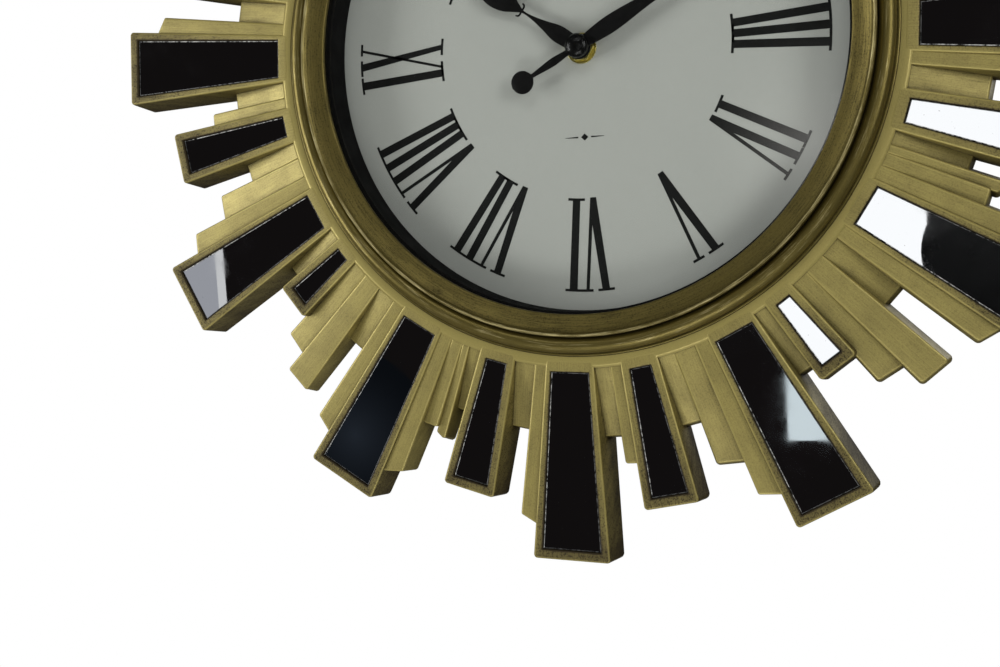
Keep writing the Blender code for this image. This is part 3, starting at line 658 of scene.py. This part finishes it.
def numeral_strokes(letters):
    """Strokes and serifs of a numeral, as angles from its first letter."""
    strokes, serifs, cursor = [], [], 0.0
    for i, letter in enumerate(letters):
        cursor += ADVANCE[letter][letters[i - 1] if i else ""]
        if letter == "I":
            strokes.append((bar_angles(cursor, STROKE_IN, 3.45), bar_angles(cursor, STROKE_OUT, 3.75)))
            serifs += [(cursor - 3.3, cursor + 3.3, False), (cursor - 2.05, cursor + 2.05, True)]
        elif letter == "V":
            strokes.append((None, cursor))
            serifs += [(cursor - 1.15, cursor + 2.9, True), (cursor + 4.1, cursor + 7.0, True)]
        else:
            strokes.append(((cursor + 5.5, cursor + 7.5), (cursor, cursor + 1.85)))
            strokes.append(((cursor - 1.85, cursor - 0.85), (cursor + 4.85, cursor + 5.5)))
            serifs += [(cursor + 3.3, cursor + 9.7, False), (cursor - 4.6, cursor + 0.9, False)]
            serifs += [(cursor - 1.2, cursor + 2.7, True), (cursor + 3.9, cursor + 6.8, True)]
    return strokes, serifs


def numerals():
    shell = Shell()
    words = ("XII", "I", "II", "III", "IV", "V", "VI", "VII", "VIII", "IX", "X", "XI")
    for hour, letters in enumerate(words):
        strokes, serifs = numeral_strokes(letters)
        ends = [angle for left, right, outside in serifs if outside for angle in (left, right)]
        hour_angle = 30 * hour - (min(ends) + max(ends)) / 2
        for inner, outer in strokes:
            if inner:
                stroke(shell, hour_angle, inner, outer)
                continue
            # A V is two convex halves that meet at its crotch, spots[2], and its foot.
            spots = [(STROKE_OUT, 0.0), (STROKE_OUT, 1.85), (79.0, 3.42), (STROKE_OUT, 5.1)]
            spots += [(STROKE_OUT, 5.9), (STROKE_IN - 0.5, 3.65), (STROKE_IN - 0.5, 1.3)]
            left = [spots[0], spots[1], spots[2], spots[6]]
            right = [spots[2], spots[3], spots[4], spots[5], spots[6]]
            for half in (left, right):
                slab(shell, [polar(radius, hour_angle + outer + angle) for radius, angle in half])
        for left, right, outside in serifs:
            serif(shell, hour_angle, left, right, outside)
    diamond = [(0.0, -37.9), (1.7, -39.5), (0.0, -41.1), (-1.7, -39.5)]
    slab(shell, diamond)
    for side in (-1, 1):
        slab(shell, [(side * 3.0, -39.15), (side * 9.0, -39.4), (side * 9.0, -39.6), (side * 3.0, -39.85)])
    shell.piece("dial_print", INK, "clock", ())


# Hands


def smooth(stations, at_distance):
    """A smooth curve through (distance, half width) stations."""
    last = len(stations) - 1
    i = max(k for k in range(last) if stations[k][0] <= at_distance or k == 0)
    near, far = stations[i], stations[i + 1]
    before, after = stations[max(i - 1, 0)], stations[min(i + 2, last)]
    span = far[0] - near[0]
    t = (at_distance - near[0]) / span
    enter = (far[1] - before[1]) * span / (far[0] - before[0])
    leave = (after[1] - near[1]) * span / (after[0] - near[0])
    return (
        near[1] * (2 * t**3 - 3 * t**2 + 1)
        + enter * (t**3 - 2 * t**2 + t)
        + far[1] * (3 * t**2 - 2 * t**3)
        + leave * (t**3 - t**2)
    )


def disc_width(distance, centre, radius):
    return math.sqrt(max(radius**2 - (distance - centre) ** 2, 0.0))


TAIL_DISC_AT, TAIL_DISC_RADIUS = -29.6, 5.2
MINUTE_STATIONS = (
    (-30.0, 0.7), (-24.0, 0.9), (-13.0, 1.8), (-4.0, 1.3), (3.0, 2.6), (17.0, 3.9), (36.0, 2.6), (60.0, 1.5),
    (101.0, 0.35), (103.0, 0.3),
)
HOUR_STATIONS = (
    (-1.0, 3.4), (5.0, 3.6), (12.0, 3.7), (19.0, 2.1), (26.0, 0.8), (31.0, 0.6), (34.5, 2.0), (40.0, 4.6),
    (46.0, 5.6), (52.0, 4.6), (59.0, 1.9), (67.0, 0.4), (69.0, 0.3),
)
CURL = ((31.8, 0.2), (31.7, 1.2), (31.75, 2.1), (32.2, 2.8), (33.0, 3.0))


def minute_half_width(distance):
    leaf = smooth(MINUTE_STATIONS, distance) if distance > TAIL_DISC_AT else 0.0
    disc = disc_width(distance, TAIL_DISC_AT, TAIL_DISC_RADIUS)
    return max(leaf, disc, disc_width(distance, 0.0, 5.2), 0.15)


def hour_half_width(distance):
    leaf = smooth(HOUR_STATIONS, distance) if distance > -1 else 0.0
    return max(leaf, disc_width(distance, 0.0, HUB_RADIUS), 0.15)


def hand(name, start, end, half_width, clock_angle, low, body, node, curls=()):
    """A stamped hand: a flat blade with its edges slightly rolled over. curls are the sides (-1, 1) that
    have a small hook below the leaf."""
    shell = Shell()
    along, across = polar(1, clock_angle), polar(1, clock_angle + 90)
    count = 260
    stations = [start + (end - start) * (i / count) for i in range(count + 1)]

    def row(inset, height):
        rows = []
        for side in (-1, 1):
            edge = []
            for d in stations:
                w = side * max(half_width(d) - inset, 0.05)
                edge.append((d * along[0] + w * across[0], d * along[1] + w * across[1], height, d, w))
            rows.append(shell.loop(edge))
        return rows

    levels = [row(0.0, low), row(0.0, low + 0.55), row(0.08, low + 0.74), row(0.28, low + 0.8)]
    for (left, right), (next_left, next_right) in zip(levels, levels[1:]):
        shell.bridge(left, next_left, closed=False)
        shell.bridge(right, next_right, closed=False)
        for spot in (0, -1):
            shell.faces.append((left[spot], right[spot], next_right[spot], next_left[spot]))
    for left, right in (levels[0], levels[-1]):
        shell.bridge(left, right, closed=False)
    for side in curls:
        path = [(d, side * w) for d, w in CURL]
        for (d0, w0), (d1, w1) in zip(path, path[1:]):
            run = Vector((d1 - d0, w1 - w0)).normalized() * 0.15
            normal = Vector((-run.y, run.x)).normalized() * 0.33
            near, far = (d0 - run.x, w0 - run.y), (d1 + run.x, w1 + run.y)
            quad = []
            for (d, w), sign in ((near, 1), (far, 1), (far, -1), (near, -1)):
                d, w = d + sign * normal.x, w + sign * normal.y
                quad.append((d * along[0] + w * across[0], d * along[1] + w * across[1]))
            slab(shell, quad, low + 0.05, low + 0.72)
    shell.piece(name, HAND_BLACK, body, [node], 50.0)


def hub():
    shell = Shell()
    base = -9.5
    foot, flatness = base + 0.55, 0.55
    dome = arc((0.0, foot), HUB_RADIUS, 0, 84, 14, lambda t: 0.0)
    dome = [(radius, foot + (height - foot) * flatness, wash) for radius, height, wash in dome]
    profile = [(1.5, base + 1.6, 0.0), (1.5, base, 0.0), (5.1, base, 0.0), (HUB_RADIUS, base + 0.15, 0.0)]
    loops = lathe(shell, profile + dome, 96, closed=False)
    shell.faces += [tuple(loops[0]), tuple(loops[-1])]
    cap = plain("cap_black", (0.005, 0.005, 0.005), 0.24, vary=0.3, specular=0.25)
    shell.piece("hub_cap", cap, "minutes", ["cap_nut"], 40.0)


# CAD nodes that keep their shape


def finish_node(name, material, bevel=0.0):
    """Gives a CAD node its material and, where bevel is a width in millimetres, softer edges."""
    thing = nodes[name]
    thing.data.materials.clear()
    thing.data.materials.append(material)
    weld = thing.modifiers.new("weld", "WELD")
    weld.merge_threshold = 0.00001
    if bevel:
        soft = thing.modifiers.new("soft_edges", "BEVEL")
        soft.width = bevel * MM
        soft.segments = 2
        soft.limit_method = "ANGLE"
        soft.angle_limit = math.radians(35)
        soft.harden_normals = True


def battery():
    """A dry cell with a plain two-tone sleeve."""
    shell = Shell()
    left_end = min(v.co.x for v in nodes["battery"].data.vertices) / MM
    box_low, box_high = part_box("battery")
    centre = (box_low + box_high) / 2
    profile = [(0.0, 0.0), (6.0, 0.0), (6.4, 0.4), (6.8, 0.6), (6.9, 1.1), (6.9, 48.0), (6.75, 48.6)]
    profile += [(6.3, 49.0), (3.0, 49.0), (2.7, 49.2), (2.7, 50.0), (2.5, 50.2), (0.0, 50.2)]
    loops = []
    for radius, along in profile:
        ring = []
        for i in range(64):
            turn = math.tau * i / 64
            y = centre.y / MM + max(radius, 0.02) * math.cos(turn)
            z = centre.z / MM + max(radius, 0.02) * math.sin(turn) + NAIL_ABOVE_ARBOR
            ring.append((left_end + along, z, WALL_HEIGHT - y, along, turn * radius))
        loops.append(shell.loop(ring))
    for near, far in zip(loops, loops[1:]):
        shell.bridge(near, far)
    shell.faces += [tuple(loops[0]), tuple(loops[-1])]
    sleeve = Shader("cell_print", 0.25, 0.35)
    band = sleeve.node("ShaderNodeSeparateXYZ", Vector=sleeve.coordinates("grain")).outputs[0]
    scuff = sleeve.noise(sleeve.coordinates("grain", (0.3, 2.0, 1.0)), 1.0)
    tone = sleeve.mix(sleeve.ramp(band, 35.8, 36.0), (0.015, 0.016, 0.02), (0.55, 0.26, 0.1))
    tone = sleeve.mix(sleeve.ramp(band, 48.6, 48.8), tone, (0.6, 0.6, 0.62))
    sleeve.link(sleeve.mix(sleeve.ramp(scuff, 0.62, 0.8, 0.0, 0.4), tone, (0.3, 0.3, 0.3)), "Base Color")
    shell.piece("battery_cell", sleeve.material, "clock", ["battery"], 40.0)


def keep_nodes():
    for number in range(1, 13):
        for size in ("large", "small"):
            finish_node(f"mirror_{size}_{number:02d}", MIRROR, 0.45)
    finish_node("glass_lens", GLASS)
    finish_node("dial_face", DIAL)
    finish_node("dial_board", HARDBOARD, 0.3)
    for name in ("board_screw_1", "board_screw_2", "board_screw_3", "hanger_screw_1", "hanger_screw_2"):
        finish_node(name, ZINC, 0.3)
    finish_node("hanger_plate", ZINC, 0.2)
    for name in ("contact_negative", "contact_positive"):
        finish_node(name, ZINC, 0.1)
    for name in ("movement_case", "movement_lid"):
        finish_node(name, CASE_BLACK, 0.4)
    finish_node("setting_knob", CASE_BLACK, 0.2)
    finish_node("rubber_washer", RUBBER, 0.2)
    for name in ("brass_washer", "hex_nut"):
        finish_node(name, BRASS, 0.25)
    for name in ("minute_arbor", "centre_wheel"):
        finish_node(name, BRASS)
    wheels = ("minute_wheel", "hour_wheel", "third_wheel", "seconds_wheel", "intermediate_wheel")
    for name in ("train_plate", *wheels):
        finish_node(name, ACETAL)
    for name in ("stator", "rotor"):
        finish_node(name, IRON)
    finish_node("coil", COPPER)
    finish_node("circuit_board", CIRCUIT)


# Studio


def aim(thing, location, target):
    thing.location = location
    thing.rotation_euler = (Vector(target) - Vector(location)).to_track_quat("-Z", "Y").to_euler()


def circle(radius, sides):
    turns = [math.tau * i / sides for i in range(sides)]
    return [(radius * math.cos(turn), radius * math.sin(turn)) for turn in turns]


def panel(name, points, material):
    """A single flat face."""
    mesh = bpy.data.meshes.new(name)
    mesh.from_pydata(points, [], [tuple(range(len(points)))])
    mesh.materials.append(material)
    made = bpy.data.objects.new(name, mesh)
    bpy.context.scene.collection.objects.link(made)
    return made


def softbox(name, location, target, size, brightness, colour=(1.0, 1.0, 1.0)):
    """brightness is what a mirror shows of it, with 1 as white."""
    light = bpy.data.lights.new(name, "AREA")
    light.shape = "RECTANGLE"
    light.size, light.size_y = size
    light.energy = brightness * math.pi * size[0] * size[1]
    light.color = colour
    made = bpy.data.objects.new(name, light)
    bpy.context.scene.collection.objects.link(made)
    aim(made, location, target)
    made.visible_camera = False
    return made


def card(name, x, z, brightness, colour=(1.0, 1.0, 1.0)):
    """A white card that faces the clock squarely, seen only in the mirrors. x and z are (low, high)."""
    middle = (sum(x) / 2, CARD_PLANE, sum(z) / 2)
    return softbox(name, middle, (middle[0], 0.0, middle[2]), (x[1] - x[0], z[1] - z[0]), brightness, colour)


def studio():
    clock = (0.0, -0.03, -0.125)
    softbox("left_box", (-2.0, -1.2, -0.2), clock, (0.8, 1.5), 6.7)
    softbox("right_box", (1.9, -1.6, 0.3), clock, (0.8, 1.4), 5.3)
    softbox("front_high", (0.0, -2.3, 1.6), clock, (1.4, 0.7), 2.7)
    softbox("front_low", (0.1, -2.0, -2.1), clock, (1.4, 0.7), 4.4)
    softbox("rear_left", (-0.9, 1.6, 0.6), clock, (0.8, 0.8), 1.8)
    softbox("rear_right", (0.9, 1.6, 0.2), clock, (0.8, 0.8), 1.5)
    card("white_right", (-0.01, 0.27), (-0.53, 0.03), 1.1)
    card("white_right_low", (-0.01, 0.27), (-0.66, -0.53), 0.75, (0.86, 0.97, 1.0))
    card("white_right_upper", (0.27, 0.6), (-0.21, 0.03), 1.1)
    card("grey_left", (-1.62, -1.33), (-0.55, -0.24), 0.36, (0.9, 0.92, 1.0))
    card("grey_left_rim", (-1.33, -1.31), (-0.55, -0.24), 0.6)
    world = bpy.data.worlds.new("studio_white")
    bpy.context.scene.world = world
    world.use_nodes = True
    tree = world.node_tree
    seen = tree.nodes["Background"]
    rest, soft = tree.nodes.new("ShaderNodeBackground"), tree.nodes.new("ShaderNodeBackground")
    seen.inputs["Color"].default_value = (1.0, 1.0, 1.0, 1.0)
    rest.inputs["Color"].default_value = (0.006, 0.005, 0.005, 1.0)
    soft.inputs["Color"].default_value = (0.17, 0.17, 0.17, 1.0)
    path, blend = tree.nodes.new("ShaderNodeLightPath"), tree.nodes.new("ShaderNodeMixShader")
    spread = tree.nodes.new("ShaderNodeMixShader")
    tree.links.new(path.outputs["Is Diffuse Ray"], spread.inputs[0])
    tree.links.new(rest.outputs[0], spread.inputs[1])
    tree.links.new(soft.outputs[0], spread.inputs[2])
    tree.links.new(path.outputs["Is Camera Ray"], blend.inputs[0])
    tree.links.new(spread.outputs[0], blend.inputs[1])
    tree.links.new(seen.outputs[0], blend.inputs[2])
    tree.links.new(blend.outputs[0], tree.nodes["World Output"].inputs["Surface"])
    pale = plain("pale_floor", (0.88, 0.88, 0.87), 0.6, scale=40.0, vary=0.04, bump=0.02)
    floor = panel("floor", [(x, y - 0.5, FLOOR_HEIGHT) for x, y in circle(3.5, 64)], pale)
    black = plain("lens_black", (0.004, 0.004, 0.005), 0.3)
    lens = panel("dark_lens", [(0.36 + x, CARD_PLANE + 0.01, -0.31 + z) for x, z in circle(0.1, 48)], black)
    lens.visible_camera = False


def glow(name, x, z, radius, peak, colour):
    """A lamp's soft glow on the camera's side of the room, which shows only in glass and mirrors."""
    lamp = Shader(name)
    tree = lamp.tree
    centre = lamp.node("ShaderNodeVectorMath", {"operation": "DISTANCE"})
    tree.links.new(lamp.node("ShaderNodeTexCoord").outputs["Object"], centre.inputs[0])
    level = lamp.math("POWER", lamp.ramp(centre.outputs["Value"], 0.0, radius, 1.0, 0.0), 2.0)
    strength = lamp.math("ADD", lamp.math("MULTIPLY", level, peak), DARK_ROOM)
    light = lamp.node("ShaderNodeEmission", Color=(*colour, 1.0), Strength=strength)
    tree.links.new(light.outputs[0], tree.nodes["Material Output"].inputs["Surface"])
    made = panel(name, [(along, 0.0, up) for along, up in circle(radius, 48)], lamp.material)
    made.location = (x, CARD_PLANE, z)
    made.visible_camera = False
    made.visible_shadow = False
    made.visible_diffuse = False


def camera():
    data = bpy.data.cameras.new("camera")
    data.lens, data.sensor_width = CAMERA_LENS, CAMERA_SENSOR
    data.clip_start = 0.01
    made = bpy.data.objects.new("camera", data)
    bpy.context.scene.collection.objects.link(made)
    ahead = Vector(CAMERA_AHEAD).normalized()
    right = ahead.cross(Vector(CAMERA_UP)).normalized()
    up = right.cross(ahead)
    turn = Matrix((right, up, -ahead)).transposed().to_4x4()
    made.matrix_world = Matrix.Translation(CAMERA_AT) @ turn
    bpy.context.scene.camera = made
    bpy.context.scene.view_settings.view_transform = "Standard"  # the white backdrop has to stay white


sunburst()
mirror_edges()
bezel()
well()
numerals()
minute_span, hour_span = (TAIL_DISC_AT - 5.19, 102.0), (-5.39, 68.0)
minute_place, hour_place = (MINUTE_HAND_AT, MINUTE_HAND_HEIGHT), (HOUR_HAND_AT, HOUR_HAND_HEIGHT)
hand("minute_blade", *minute_span, minute_half_width, *minute_place, "minutes", "minute_hand")
hand("hour_blade", *hour_span, hour_half_width, *hour_place, "hours", "hour_hand", (-1, 1))
hub()
battery()
keep_nodes()
studio()
glow("dial_glare", -0.03, -0.05, 0.2, 1.6, (1.0, 0.98, 0.94))
glow("blue_haze", -0.97, -0.66, 0.16, 0.02, (0.6, 0.75, 1.0))
camera()
